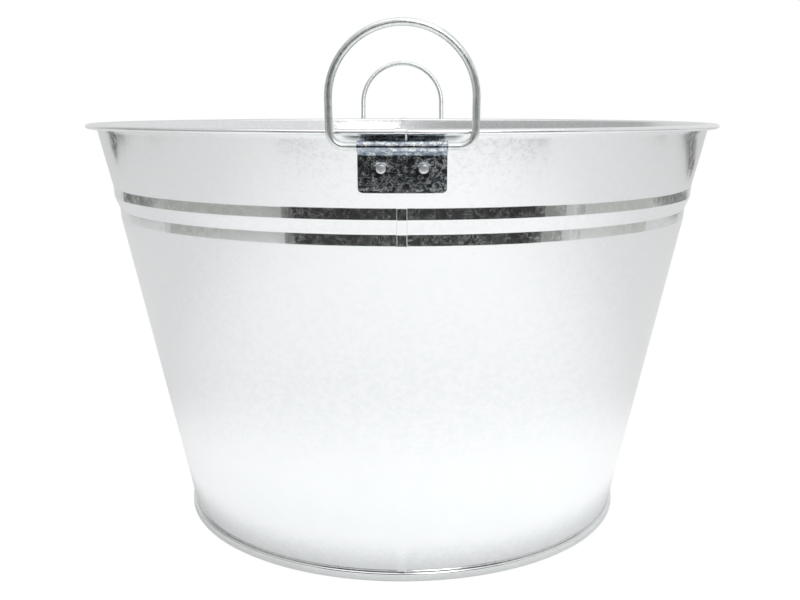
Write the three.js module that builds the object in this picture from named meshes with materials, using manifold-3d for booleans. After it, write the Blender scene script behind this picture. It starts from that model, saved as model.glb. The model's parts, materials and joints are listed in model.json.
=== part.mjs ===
// A round, tapered florist bucket of galvanised sheet with two wire ring handles.
// Units are millimetres, +Z is up and the origin is at the middle of the underside.
// One handle is at the front (-Y) and the other at the back (+Y).
// The wall is two half sheets hooked together in upright lock seams under the handles.

import * as THREE from 'three';
import { mergeVertices } from 'three/addons/utils/BufferGeometryUtils.js';
import Module from 'manifold-3d';

// ---- sheet and clearances ----
const SHEET = 0.4; // thickness of the wall and bottom sheet
const GAP = 0.3; // clearance left between two pieces that meet

// ---- overall shape, outer surfaces ----
const RIM_RADIUS = 190; // outer edge of the rolled rim
const RIM_TOP = 241; // top of the rolled rim
const ROLL_WIDTH = 5.9; // rolled rim, across
const ROLL_HEIGHT = 3; // rolled rim, top to underside
const WALL_BASE_RADIUS = 136.2; // wall where it enters the bottom seam
const UPPER_FLARE = 0.228; // outward run of the wall per unit of height above the bands

// ---- two stepped bands below the rim ----
const BAND_DROP = 36.1; // from the top of the rim down to the upper band's crease
const UPPER_BAND_HEIGHT = 5.6;
const BAND_SPACE = 6.7; // height of the sloping wall between the bands
const BAND_STEP = 2.8; // inward run of the wall between the bands
const LOWER_BAND_HEIGHT = 5.7;
const BAND_DRAFT = 0.3; // a band is this much narrower at its foot

// ---- bottom seam ring ----
const SEAM_RING_WALL = 1.9; // from the wall's outer face to the ring's outer face
const SEAM_RING_HEIGHT = 5;
const BOTTOM_LIFT = 4.2; // height of the bottom plate above the table
const FLANGE_REACH = 1.1; // outward turn at the foot of the wall

// ---- upright lock seams ----
const HOOK_DEPTH = 2.8; // how far each folded edge reaches round the other
const OVER_EDGE = 2; // where the outer fold steps up from the wall, right of the seam's middle
const SEAM_TOP_DROP = 5; // the folds are notched away above this, below the top of the rim
const SEAM_FOOT = 0.8; // from the bottom ring up to where the folds begin

// ---- ring handles ----
const WIRE = 3.5; // wire diameter
const RING_WIDTH = 64; // between the centre lines of the two legs
const RING_HEIGHT = 52.6; // between the centre lines of bar and crown
const RING_BEND = 7; // centre line radius of the two lower corners
const RING_LEAN = THREE.MathUtils.degToRad(8); // outward lean while resting on the rim
const BUTT_GAP = 1; // between the two wire ends, hidden inside the sleeve

// ---- handle brackets ----
const STRAP = 0.7; // thickness of the folded strap
const STRAP_WIDTH = 40;
const SLEEVE_DROP = 1.85; // clear height between the rolled rim and the sleeve
const STRAP_LENGTH = 21; // from the bar's centre line down to the strap's lower edge
const STRAP_CORNER = 2; // radius of its lower corners
const PLATE_TILT = THREE.MathUtils.degToRad(7); // how far its plates lean from upright
const PLATE_DROP = 2.4; // from the bar down to where the back plate turns out to the sleeve
const TUCK_DROP = 3.8; // from the bar down to where the front plate begins
const SLEEVE_START = THREE.MathUtils.degToRad(200); // where the sleeve leaves the back plate
const SLEEVE_END = THREE.MathUtils.degToRad(-95); // where it tucks back to the front plate

// ---- rivets ----
const RIVET_SPACING = 19.2; // between the two rivets of one bracket
const RIVET_DROP = 10; // below the bar's centre line
const RIVET_SHANK = 3; // diameter
const RIVET_HEAD = 4.6; // diameter
const RIVET_DOME = 1.3; // height of the outer head
const RIVET_TAIL = 0.6; // thickness of the inner head

// ---- resolution ----
const WALL_STEP = THREE.MathUtils.degToRad(5); // angle between columns of the wall
const ROLL_STEP = THREE.MathUtils.degToRad(30); // angle between points round the roll
const ROLL_END = THREE.MathUtils.degToRad(-120); // where the rolled edge stops under the rim
const ROUND_SEGMENTS = 12; // rivets and their holes
const WIRE_SIDES = 10;
const WIRE_STEPS = 72;
const STRAP_COLUMNS = 8;
const SLEEVE_STEPS = 11;
const CORNER_STEPS = 2;
const SHORTEST_EDGE = 0.005; // anything finer is dropped after cutting and joining

// ---- values that follow from the sizes above ----
const HALF_SHEET = SHEET / 2;
const LAYER = SHEET + GAP; // spacing of neighbouring layers of sheet in a seam
const SEAM_FACE = 3 * LAYER; // how far the outermost fold stands off the wall
const ROLL_MIDDLE = RIM_TOP - ROLL_HEIGHT / 2;
const ROLL_CENTRE = RIM_RADIUS - ROLL_WIDTH / 2;
const ROLL_INNER = RIM_RADIUS - ROLL_WIDTH; // where the wall runs into the roll
const BAND_TOP = RIM_TOP - BAND_DROP;
const UPPER_BAND_FOOT = BAND_TOP - UPPER_BAND_HEIGHT;
const LOWER_BAND_TOP = UPPER_BAND_FOOT - BAND_SPACE;
const LOWER_BAND_FOOT = LOWER_BAND_TOP - LOWER_BAND_HEIGHT;
const UPPER_BAND_RADIUS = ROLL_INNER - (ROLL_MIDDLE - BAND_TOP) * UPPER_FLARE;
const LOWER_BAND_RADIUS = UPPER_BAND_RADIUS - BAND_DRAFT - BAND_STEP;
const LOWER_FLARE =
  (LOWER_BAND_RADIUS - BAND_DRAFT - WALL_BASE_RADIUS) / (LOWER_BAND_FOOT - SEAM_RING_HEIGHT);
const SEAM_RING_RADIUS = WALL_BASE_RADIUS + SEAM_RING_WALL;
const WALL_FOOT = SHEET + GAP + HALF_SHEET; // centre of the flange, clear of the ring's floor
const SEAM_BOTTOM = SEAM_RING_HEIGHT + SEAM_FOOT;
const SEAM_TOP = RIM_TOP - SEAM_TOP_DROP;
const BORE = WIRE / 2 + GAP; // inner radius of the sleeve
const SLEEVE_RADIUS = BORE + STRAP / 2; // centre of the strap round the wire
const PLATE_PITCH = STRAP + GAP; // spacing of the two plates of the strap
const HINGE_HEIGHT = RIM_TOP - ROLL_HEIGHT - SLEEVE_DROP - BORE - STRAP;
const PLATE_TOP = HINGE_HEIGHT - PLATE_DROP;
const TUCK_TOP = HINGE_HEIGHT - TUCK_DROP;
const STRAP_BOTTOM = HINGE_HEIGHT - STRAP_LENGTH;
const RIVET_HEIGHT = HINGE_HEIGHT - RIVET_DROP;
// distance of the bar from the bucket's axis, so that the leaning legs just clear the rim
const HINGE_RADIUS = Math.sqrt(RIM_RADIUS ** 2 - (RING_WIDTH / 2 - WIRE / 2) ** 2) + GAP
  + WIRE / 2 / Math.cos(RING_LEAN) - (ROLL_MIDDLE - HINGE_HEIGHT) * Math.tan(RING_LEAN);

const Flat = THREE.Vector2;

// outer radius of the plain wall above the bands
function upperRadius(z) {
  return UPPER_BAND_RADIUS + (z - BAND_TOP) * UPPER_FLARE;
}

// outer radius of the plain wall below the bands
function lowerRadius(z) {
  return WALL_BASE_RADIUS + (z - SEAM_RING_HEIGHT) * LOWER_FLARE;
}

function metal(colour, roughness) {
  return new THREE.MeshStandardMaterial({ color: colour, roughness, metalness: 1 });
}

// ---- solids ----

const wasm = await Module();
wasm.setup();

function welded(geometry) {
  const bare = geometry.clone();
  bare.deleteAttribute('normal');
  bare.deleteAttribute('uv');
  return mergeVertices(bare, 1e-4);
}

function toSolid(geometry) {
  const clean = welded(geometry);
  return new wasm.Manifold(new wasm.Mesh({
    numProp: 3,
    vertProperties: new Float32Array(clean.attributes.position.array),
    triVerts: new Uint32Array(clean.index.array),
  }));
}

// the solid's surface, with edges shorter than the smallest real detail drawn together
function toGeometry(solid) {
  const mesh = solid.simplify(SHORTEST_EDGE).getMesh();
  const geometry = new THREE.BufferGeometry();
  geometry.setAttribute('position', new THREE.BufferAttribute(mesh.vertProperties, 3));
  geometry.setIndex(new THREE.BufferAttribute(mesh.triVerts, 1));
  geometry.computeVertexNormals();
  return geometry;
}

// the sideways direction at each point of a flat line, long enough to keep the thickness at corners
function mitres(line) {
  return line.map((point, i) => {
    const before = line[Math.max(i - 1, 0)];
    const after = line[Math.min(i + 1, line.length - 1)];
    const into = point.clone().sub(i > 0 ? before : point);
    const out = after.clone().sub(point);
    const first = (into.length() > 0 ? into : out).clone().normalize();
    const second = (out.length() > 0 ? out : into).clone().normalize();
    const middle = first.clone().add(second).normalize();
    const stretch = 1 / middle.dot(first);
    return new Flat(middle.y, -middle.x).multiplyScalar(stretch);
  });
}

// a thin sheet: a box whose columns, rows and two faces are moved to where place() says
function sheet(columns, rows, place) {
  const across = columns - 1;
  const up = rows - 1;
  const geometry = new THREE.BoxGeometry(across, up, 1, across, up, 1);
  const position = geometry.attributes.position;
  for (let i = 0; i < position.count; i += 1) {
    const column = Math.round(position.getX(i) + across / 2);
    const row = Math.round(position.getY(i) + up / 2);
    const side = Math.sign(position.getZ(i));
    const point = place(column, row, side);
    position.setXYZ(i, point.x, point.y, point.z);
  }
  return geometry;
}

// ---- wall panels ----

// centre line of the wall sheet seen from the side (radius, height), from flange to rolled edge
function wallProfile() {
  const foot = lowerRadius(WALL_FOOT) - HALF_SHEET;
  const outer = [
    [LOWER_BAND_RADIUS - BAND_DRAFT, LOWER_BAND_FOOT],
    [LOWER_BAND_RADIUS, LOWER_BAND_TOP],
    [UPPER_BAND_RADIUS - BAND_DRAFT, UPPER_BAND_FOOT],
    [UPPER_BAND_RADIUS, BAND_TOP],
    [upperRadius(SEAM_TOP), SEAM_TOP],
  ];
  const line = [
    new Flat(foot + FLANGE_REACH, WALL_FOOT),
    new Flat(foot, WALL_FOOT),
    new Flat(lowerRadius(SEAM_BOTTOM) - HALF_SHEET, SEAM_BOTTOM),
    ...outer.map(([radius, z]) => new Flat(radius - HALF_SHEET, z)),
  ];
  const halfWidth = ROLL_WIDTH / 2 - HALF_SHEET;
  const halfHeight = ROLL_HEIGHT / 2 - HALF_SHEET;
  for (let angle = Math.PI; angle > ROLL_END - 1e-6; angle -= ROLL_STEP) {
    line.push(new Flat(
      ROLL_CENTRE + halfWidth * Math.cos(angle),
      ROLL_MIDDLE + halfHeight * Math.sin(angle),
    ));
  }
  return line;
}

const PROFILE = wallProfile();
const PROFILE_SIDE = mitres(PROFILE);
const FIRST_FOLD_ROW = 2; // row at the bottom of the lock seams
const LAST_FOLD_ROW = 7; // row at the top of the lock seams

// A point of a wall panel. "along" is the distance from the seam at angle "from" and "off" the
// distance outward from the sheet's centre, measured square to the wall.
function wallPoint(row, from, along, off) {
  const radius = PROFILE[row].x + PROFILE_SIDE[row].x * off;
  const z = PROFILE[row].y + PROFILE_SIDE[row].y * off;
  const angle = from + along / PROFILE[row].x;
  return new THREE.Vector3(radius * Math.sin(angle), -radius * Math.cos(angle), z);
}

// The folded edge that goes over: up from the wall, across, and back underneath itself.
// A line is (along, off) as in wallPoint, and "along" grows to the right seen from outside.
const UNDER_EDGE = OVER_EDGE - LAYER;
const OVER_LINE = [
  new Flat(UNDER_EDGE - LAYER, LAYER),
  new Flat(OVER_EDGE - 2 * LAYER - HOOK_DEPTH, LAYER),
  new Flat(OVER_EDGE - 2 * LAYER - HOOK_DEPTH, SEAM_FACE),
  new Flat(OVER_EDGE, SEAM_FACE),
  new Flat(OVER_EDGE, 0),
  new Flat(OVER_EDGE + HOOK_DEPTH, 0),
];

// The folded edge that goes under: out from the wall and back over itself, inside the other fold.
const UNDER_LINE = [
  new Flat(UNDER_EDGE - HOOK_DEPTH, 0),
  new Flat(UNDER_EDGE, 0),
  new Flat(UNDER_EDGE, 2 * LAYER),
  new Flat(UNDER_EDGE - HOOK_DEPTH, 2 * LAYER),
];

// a strip of folded edge between two points of its line, over the height of the seam
function foldStrip(line, first, last, from) {
  const side = mitres(line);
  return sheet(last - first + 1, LAST_FOLD_ROW - FIRST_FOLD_ROW + 1, (column, row, face) => {
    const point = line[first + column];
    const shift = side[first + column].clone().multiplyScalar(-face * HALF_SHEET);
    return wallPoint(FIRST_FOLD_ROW + row, from, point.x + shift.x, point.y + shift.y);
  });
}

// One half of the wall, from the seam at the front round by +X to the seam at the back.
function wallPanel() {
  const overSide = mitres(OVER_LINE);
  const underSide = mitres(UNDER_LINE);
  const overCorner = OVER_LINE.length - 2;
  const columns = Math.round(Math.PI / WALL_STEP) + 1;
  const body = sheet(columns, PROFILE.length, (column, row, face) => {
    const folded = row >= FIRST_FOLD_ROW && row <= LAST_FOLD_ROW;
    if (column === 0) {
      const shift = folded ? overSide[overCorner].clone().multiplyScalar(-face * HALF_SHEET)
        : new Flat(UNDER_EDGE + GAP - OVER_EDGE, face * HALF_SHEET);
      return wallPoint(row, 0, OVER_EDGE + shift.x, shift.y);
    }
    if (column === columns - 1) {
      const shift = folded ? underSide[1].clone().multiplyScalar(-face * HALF_SHEET)
        : new Flat(0, face * HALF_SHEET);
      return wallPoint(row, Math.PI, UNDER_EDGE + shift.x, shift.y);
    }
    return wallPoint(row, column * WALL_STEP, 0, face * HALF_SHEET);
  });
  return toSolid(body)
    .add(toSolid(foldStrip(OVER_LINE, 0, overCorner, 0)))
    .add(toSolid(foldStrip(UNDER_LINE, 1, UNDER_LINE.length - 1, Math.PI)));
}

// ---- bottom ----

// bottom plate with its edge turned down inside the wall, out below it and up round the flange
function bottomPan() {
  const inside = SHEET + GAP; // from the wall's outer face to the pan's outer face
  const legOuter = (z) => lowerRadius(z) - inside;
  const ringInner = SEAM_RING_RADIUS - SHEET;
  const lipInner = lowerRadius(SEAM_RING_HEIGHT) + GAP;
  const profile = [
    new Flat(0, BOTTOM_LIFT),
    new Flat(legOuter(BOTTOM_LIFT) - SHEET, BOTTOM_LIFT),
    new Flat(legOuter(0) - SHEET, SHEET),
    new Flat(legOuter(0), 0),
    new Flat(SEAM_RING_RADIUS - SHEET, 0),
    new Flat(SEAM_RING_RADIUS, SHEET),
    new Flat(SEAM_RING_RADIUS, SEAM_RING_HEIGHT - SHEET),
    new Flat(ringInner, SEAM_RING_HEIGHT),
    new Flat(lipInner, SEAM_RING_HEIGHT),
    new Flat(lipInner, SEAM_RING_HEIGHT - SHEET),
    new Flat(ringInner, SEAM_RING_HEIGHT - SHEET),
    new Flat(ringInner, SHEET),
    new Flat(legOuter(SHEET), SHEET),
    new Flat(legOuter(BOTTOM_LIFT + SHEET), BOTTOM_LIFT + SHEET),
    new Flat(0, BOTTOM_LIFT + SHEET),
  ];
  const segments = Math.round((2 * Math.PI) / WALL_STEP);
  const pan = new THREE.LatheGeometry(profile, segments);
  pan.rotateX(Math.PI / 2);
  return pan;
}

// ---- ring handle ----

// part of a circle in the XZ plane, about a centre (x, z)
class Bend extends THREE.Curve {
  constructor(centre, radius, from, sweep) {
    super();
    Object.assign(this, { centre, radius, from, sweep });
  }

  getPoint(t, target = new THREE.Vector3()) {
    const angle = this.from + t * this.sweep;
    const x = this.centre.x + this.radius * Math.cos(angle);
    return target.set(x, 0, this.centre.y + this.radius * Math.sin(angle));
  }
}

// D-shaped wire in its own frame: the bar along X through the origin, the crown up +Z
function ringHandle() {
  const half = RING_WIDTH / 2;
  const flat = half - RING_BEND; // half length of the straight bar
  const crown = RING_HEIGHT - half; // height of the centre of the half circle
  const quarter = Math.PI / 2;
  const path = new THREE.CurvePath();
  const straight = (x0, z0, x1, z1) => path.add(
    new THREE.LineCurve3(new THREE.Vector3(x0, 0, z0), new THREE.Vector3(x1, 0, z1)),
  );
  straight(BUTT_GAP / 2, 0, flat, 0);
  path.add(new Bend(new Flat(flat, RING_BEND), RING_BEND, -quarter, quarter));
  straight(half, RING_BEND, half, crown);
  path.add(new Bend(new Flat(0, crown), half, 0, Math.PI));
  straight(-half, crown, -half, RING_BEND);
  path.add(new Bend(new Flat(-flat, RING_BEND), RING_BEND, Math.PI, quarter));
  straight(-flat, 0, -BUTT_GAP / 2, 0);
  const round = new THREE.Shape();
  round.absarc(0, 0, WIRE / 2, 0, 2 * Math.PI, false);
  return new THREE.ExtrudeGeometry(round, {
    steps: WIRE_STEPS,
    curveSegments: WIRE_SIDES / 2,
    extrudePath: path,
  });
}

// ---- bracket ----

// distance outward from the bucket's axis of the back plate's centre at a height
function backPlate(z) {
  const top = upperRadius(PLATE_TOP) + SEAM_FACE + GAP + STRAP / 2;
  return top + (z - PLATE_TOP) * Math.tan(PLATE_TILT);
}

// Centre line of the strap seen from the side (outward, height), with the part of its width that
// is left at each point: up the back plate, round the wire and down the front plate.
function strapLine() {
  const plate = [];
  for (let i = 0; i <= CORNER_STEPS; i += 1) {
    const angle = (i / CORNER_STEPS) * (Math.PI / 2);
    plate.push({
      z: STRAP_BOTTOM + STRAP_CORNER * (1 - Math.sin(angle)),
      width: STRAP_WIDTH - 2 * STRAP_CORNER * (1 - Math.cos(angle)),
    });
  }
  const back = [...plate].reverse().map(({ z, width }) => ({ y: backPlate(z), z, width }));
  back.push({ y: backPlate(TUCK_TOP), z: TUCK_TOP, width: STRAP_WIDTH });
  back.push({ y: backPlate(PLATE_TOP), z: PLATE_TOP, width: STRAP_WIDTH });
  const sleeve = [];
  for (let i = 0; i <= SLEEVE_STEPS; i += 1) {
    const angle = THREE.MathUtils.lerp(SLEEVE_START, SLEEVE_END, i / SLEEVE_STEPS);
    sleeve.push({
      y: HINGE_RADIUS + SLEEVE_RADIUS * Math.cos(angle),
      z: HINGE_HEIGHT + SLEEVE_RADIUS * Math.sin(angle),
      width: STRAP_WIDTH,
    });
  }
  const front = plate.map(({ z, width }) => ({ y: backPlate(z) + PLATE_PITCH, z, width }));
  front.unshift({ y: backPlate(TUCK_TOP) + PLATE_PITCH, z: TUCK_TOP, width: STRAP_WIDTH });
  return [...back, ...sleeve, ...front];
}

// the strap, its plates bowed to the round of the wall and its sleeve straight
function bracket() {
  const line = strapLine();
  const side = mitres(line.map(({ y, z }) => new Flat(y, z)));
  const bow = (z) => THREE.MathUtils.clamp((TUCK_TOP - z) / STRAP_CORNER, 0, 1);
  return sheet(STRAP_COLUMNS + 1, line.length, (column, row, face) => {
    const { y, z, width } = line[row];
    const x = (column / STRAP_COLUMNS - 0.5) * width;
    const sag = (HINGE_RADIUS - Math.sqrt(HINGE_RADIUS ** 2 - x ** 2)) * bow(z);
    const out = y + side[row].x * face * (STRAP / 2) - sag;
    return new THREE.Vector3(x, -out, z + side[row].y * face * (STRAP / 2));
  });
}

// ---- rivets ----

// distance from the outer face of the front plate to the inner face of the wall, along a rivet
function rivetGrip() {
  const x = RIVET_SPACING / 2;
  const outerFace = rivetSeat();
  const wallInner = Math.sqrt((upperRadius(RIVET_HEIGHT) - SHEET) ** 2 - x ** 2);
  return (outerFace - wallInner) / Math.cos(PLATE_TILT);
}

// distance outward from the bucket's axis of the front plate's face where a rivet sits on it
function rivetSeat() {
  const x = RIVET_SPACING / 2;
  const sag = HINGE_RADIUS - Math.sqrt(HINGE_RADIUS ** 2 - x ** 2);
  return backPlate(RIVET_HEIGHT) + PLATE_PITCH + STRAP / 2 - sag;
}

// domed rivet along +Z of its own frame, with the plate's face at the origin
function rivet() {
  const head = RIVET_HEAD / 2;
  const shank = RIVET_SHANK / 2;
  const tail = -rivetGrip() - 2 * GAP; // the inner head also clears the wall's slope
  const profile = [new Flat(0, tail - RIVET_TAIL), new Flat(head, tail - RIVET_TAIL)];
  profile.push(new Flat(head, tail), new Flat(shank, tail), new Flat(shank, GAP));
  profile.push(new Flat(head, GAP), new Flat(head * 0.87, GAP + RIVET_DOME * 0.5));
  profile.push(new Flat(head * 0.5, GAP + RIVET_DOME * 0.87), new Flat(0, GAP + RIVET_DOME));
  const geometry = new THREE.LatheGeometry(profile, ROUND_SEGMENTS);
  geometry.rotateX(Math.PI / 2);
  return geometry;
}

// where a rivet of the front bracket stands, turned so that its own +Z points out of the plate
function rivetPlace(sign) {
  return new THREE.Matrix4()
    .makeTranslation(sign * (RIVET_SPACING / 2), -rivetSeat(), RIVET_HEIGHT)
    .multiply(new THREE.Matrix4().makeRotationX(Math.PI / 2 + PLATE_TILT));
}

// holes for the two rivets of the front bracket, through wall and strap
function rivetHoles() {
  const length = 2 * (rivetGrip() + RIVET_DOME);
  const holes = [-1, 1].map((sign) => {
    const hole = new THREE.CylinderGeometry(
      RIVET_SHANK / 2 + GAP,
      RIVET_SHANK / 2 + GAP,
      length,
      ROUND_SEGMENTS,
    );
    hole.rotateX(Math.PI / 2);
    hole.applyMatrix4(rivetPlace(sign));
    return toSolid(hole);
  });
  return holes[0].add(holes[1]);
}

// ---- assembly ----

const bucket = new THREE.Group();
bucket.name = 'florist_bucket';

function piece(name, geometry, material, parent = bucket) {
  const mesh = new THREE.Mesh(geometry, material);
  mesh.name = name;
  parent.add(mesh);
  return mesh;
}

const zinc = () => metal(0xb9bec1, 0.32);
const wireZinc = () => metal(0xa9aeb2, 0.28);
const strapZinc = () => metal(0xa2a6a8, 0.38);
const rivetZinc = () => metal(0xc4c8ca, 0.25);

const frontHoles = rivetHoles();
const backHoles = frontHoles.rotate([0, 0, 180]);
const panel = wallPanel();
const rightPanel = panel.subtract(frontHoles).subtract(backHoles);
const leftPanel = panel.rotate([0, 0, 180]).subtract(frontHoles).subtract(backHoles);

piece('wall_panel_right', toGeometry(rightPanel), zinc());
piece('wall_panel_left', toGeometry(leftPanel), zinc());
piece('bottom_pan', bottomPan(), zinc());

const strap = toGeometry(toSolid(bracket()).subtract(frontHoles));
const ring = ringHandle();
for (const [end, turn] of [['front', 0], ['back', Math.PI]]) {
  const mount = new THREE.Group();
  mount.rotation.z = turn;
  bucket.add(mount);
  piece(`bracket_${end}`, strap.clone(), strapZinc(), mount);
  for (const [sideName, sign] of [['left', -1], ['right', 1]]) {
    const stud = piece(`rivet_${end}_${sideName}`, rivet(), rivetZinc(), mount);
    stud.applyMatrix4(rivetPlace(sign));
  }
  const handle = piece(`ring_handle_${end}`, ring.clone(), wireZinc(), mount);
  handle.position.set(0, -HINGE_RADIUS, HINGE_HEIGHT);
  handle.rotation.x = RING_LEAN;
}

export default bucket;
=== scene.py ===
import json
import math

import bmesh
import bpy
from bpy.props import FloatProperty, FloatVectorProperty, IntProperty, PointerProperty
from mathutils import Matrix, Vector


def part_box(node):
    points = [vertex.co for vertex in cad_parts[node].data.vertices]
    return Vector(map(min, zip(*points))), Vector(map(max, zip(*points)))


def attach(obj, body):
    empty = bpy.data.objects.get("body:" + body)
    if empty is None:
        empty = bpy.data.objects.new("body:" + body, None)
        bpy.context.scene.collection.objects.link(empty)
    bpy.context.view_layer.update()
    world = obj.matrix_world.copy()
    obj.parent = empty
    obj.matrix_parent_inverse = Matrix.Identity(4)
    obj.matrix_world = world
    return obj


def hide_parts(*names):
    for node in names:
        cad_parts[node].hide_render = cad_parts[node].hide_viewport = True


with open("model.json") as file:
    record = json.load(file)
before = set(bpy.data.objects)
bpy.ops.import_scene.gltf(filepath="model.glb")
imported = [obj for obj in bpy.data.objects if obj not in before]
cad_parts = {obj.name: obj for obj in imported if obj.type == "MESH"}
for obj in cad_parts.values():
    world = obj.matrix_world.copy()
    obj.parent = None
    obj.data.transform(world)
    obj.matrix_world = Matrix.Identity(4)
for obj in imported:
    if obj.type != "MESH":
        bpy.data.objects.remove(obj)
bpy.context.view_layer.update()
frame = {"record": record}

bl_info = {
    "name": "Florist Bucket",
    "version": (1, 0, 0),
    "blender": (4, 5, 0),
    "location": "3D View > Sidebar > Florist Bucket",
    "description": "Builds a galvanised florist bucket with two ring handles, and its studio",
    "category": "Add Mesh",
}

MM = 0.001
WALL_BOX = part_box("wall_panel_right")
PAN_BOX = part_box("bottom_pan")
BRACKET_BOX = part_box("bracket_front")
RIVET_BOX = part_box("rivet_front_right")
JOINTS = {joint["name"]: joint for joint in frame["record"]["behaviour"]["joints"]}
HINGE = Vector(JOINTS["front_handle_swing"]["pos_m"])

ROLL_STEPS = 20  # steps round the rolled rim
LAP_START = 0.5 * MM  # where the lapping rim begins to stand over its neighbour
CORNER_STEPS = 5  # steps round a bracket's lower corner
PLATE_ROW = 1.0 * MM  # spacing of the rows of a bracket's plates
SLEEVE_STEPS = 22  # steps round the sleeve
SLEEVE_FROM, SLEEVE_TO = 200, -112  # degrees, where the sleeve leaves the plates
DIMPLE_CORE = 1.1 * MM  # radius of a dimple's flat middle
STRAP_EDGE = 0.14 * MM  # rounding of a bracket's edges
DOME_ROUNDING = 0.86  # rounding of a rivet's head, as a share of its height
TAIL_SKIN = 0.02 * MM  # step from the shank to the inner head
WIRE_FACETS = 50  # degrees, the sharpest bend of the wire that is shaded smooth
WHITE = (1, 1, 1, 1)


def length(name, description, default):
    """A size in metres."""
    return FloatProperty(
        name=name, description=description, default=default, unit="LENGTH",
        subtype="DISTANCE", precision=5,
    )


def angle(name, description, degrees):
    """An angle, given in degrees."""
    return FloatProperty(
        name=name, description=description, default=math.radians(degrees),
        unit="ROTATION", subtype="ANGLE",
    )


def colour(name, description, default):
    """A linear colour."""
    return FloatVectorProperty(
        name=name, description=description, default=default, subtype="COLOR",
        min=0, max=1, size=3,
    )


def amount(name, description, default):
    """A plain number."""
    return FloatProperty(name=name, description=description, default=default)


def count(name, description, default):
    """A number of steps."""
    return IntProperty(name=name, description=description, default=default, min=3)


class WallSizes(bpy.types.PropertyGroup):
    """Sizes of the two wall halves, to the sheet's outer face."""

    sheet: length("Sheet", "Thickness of the sheet", 0.4 * MM)
    rim_radius: length("Rim radius", "Outer edge of the rolled rim", 190 * MM)
    rim_top: length("Rim top", "Height of the rolled rim", WALL_BOX[1].z)
    roll_width: length("Roll width", "Rolled rim, across", 5.9 * MM)
    roll_height: length("Roll height", "Rolled rim, top to underside", 3 * MM)
    roll_end: angle("Roll end", "Where the rolled edge stops under the rim", -120)
    base_radius: length("Base radius", "Wall where it enters the bottom ring", 136.2 * MM)
    upper_flare: amount("Upper flare", "Outward run of the wall per height, at the top", 0.228)
    band_drop: length("Band drop", "Top of the rim to the upper band", 36.1 * MM)
    upper_band: length("Upper band", "Height of the upper band", 5.6 * MM)
    band_space: length("Band space", "Sloping wall between the bands", 6.7 * MM)
    lower_band: length("Lower band", "Height of the lower band", 5.7 * MM)
    band_step: length("Band step", "Inward run between the bands", 2.8 * MM)
    band_draft: length("Band draft", "How much narrower a band is at its foot", 0.3 * MM)
    crease: length("Crease", "Size of the bends above and below a band", 0.35 * MM)
    toe_reach: length("Toe reach", "Out-turned foot of the wall, in the bottom ring", 1.1 * MM)
    fold_foot: length("Fold foot", "Height where the seam's folds begin", 5.8 * MM)
    fold_top: length("Fold top", "Height where the seam's folds end", 236 * MM)
    fold_layer: length("Fold layer", "Spacing of the sheets pressed in the seam", 0.43 * MM)
    fold_right: length("Fold right", "Right edge of the outer fold", 2 * MM)
    fold_left: length("Fold left", "Left edge of the outer fold", 2.5 * MM)
    hook: length("Hook", "How far a folded edge reaches round the other", 2.8 * MM)
    lap_reach: length("Lap reach", "How far the rolled rim laps over its neighbour", 3.4 * MM)
    lap_lift: length("Lap lift", "How far the lapping rim stands over the other", 0.45 * MM)
    columns: count("Columns", "Steps round half the wall", 96)


class BottomSizes(bpy.types.PropertyGroup):
    """Sizes of the bottom and its ring."""

    ring_radius: length("Ring radius", "Outer edge of the bottom ring", PAN_BOX[1].x)
    ring_height: length("Ring height", "Height of the bottom ring", PAN_BOX[1].z)
    plate_lift: length("Plate lift", "Underside of the plate above the table", 4.2 * MM)
    clearance: length("Clearance", "Between the wall and the bottom", 0.06 * MM)
    bead: length("Bead", "Rounding of the ring's outer corners", 0.9 * MM)
    columns: count("Columns", "Steps round the bottom", 192)


class HandleSizes(bpy.types.PropertyGroup):
    """Sizes of a ring handle, to the middle of its wire."""

    wire: length("Wire", "Diameter of the wire", 3.48 * MM)
    width: length("Width", "Between the two legs", 64 * MM)
    height: length("Height", "From the bar to the crown", 52.6 * MM)
    corner: length("Corner", "Radius of the lower corners", 7 * MM)
    butt: length("Butt gap", "Between the wire's ends inside the sleeve", 1 * MM)
    lean: angle("Lean", "Outward lean at rest", 8)
    sides: count("Sides", "Sides of the wire", 20)


class BracketSizes(bpy.types.PropertyGroup):
    """Sizes of a bracket."""

    strap: length("Strap", "Thickness of the strap", 0.7 * MM)
    width: length("Width", "Width of the strap", BRACKET_BOX[1].x - BRACKET_BOX[0].x)
    foot: length("Foot", "Height of the lower edge", BRACKET_BOX[0].z)
    corner: length("Corner", "Radius of the lower corners", 2.2 * MM)
    tilt: angle("Tilt", "How far the plates lean from upright", 7)
    stand_off: length("Stand-off", "From the wall to the back plate's inner face", 1.6 * MM)
    pitch: length("Pitch", "From the back plate to the front plate", 0.74 * MM)
    bend_drop: length("Bend drop", "From the bar to the back plate's bend", 2.4 * MM)
    tuck_drop: length("Tuck drop", "From the bar to the top of the front plate", 3.8 * MM)
    sleeve: length("Sleeve", "Radius of the middle of the sleeve", 2.16 * MM)
    rivet_drop: length("Rivet drop", "From the bar to the rivets", 10 * MM)
    dimple: length("Dimple", "How far the plate is pulled in at a rivet", 0.34 * MM)
    dimple_reach: length("Dimple reach", "Radius of a dimple", 3.4 * MM)
    columns: count("Columns", "Steps across the strap", 40)


class RivetSizes(bpy.types.PropertyGroup):
    """Sizes of a rivet."""

    head: length("Head", "Diameter of the heads", 4.6 * MM)
    dome: length("Dome", "Height of the outer head", 1.25 * MM)
    shank: length("Shank", "Diameter of the shank", 3 * MM)
    tail: length("Tail", "Thickness of the inner head", 0.6 * MM)
    sides: count("Sides", "Sides of the rivet", 28)


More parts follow.
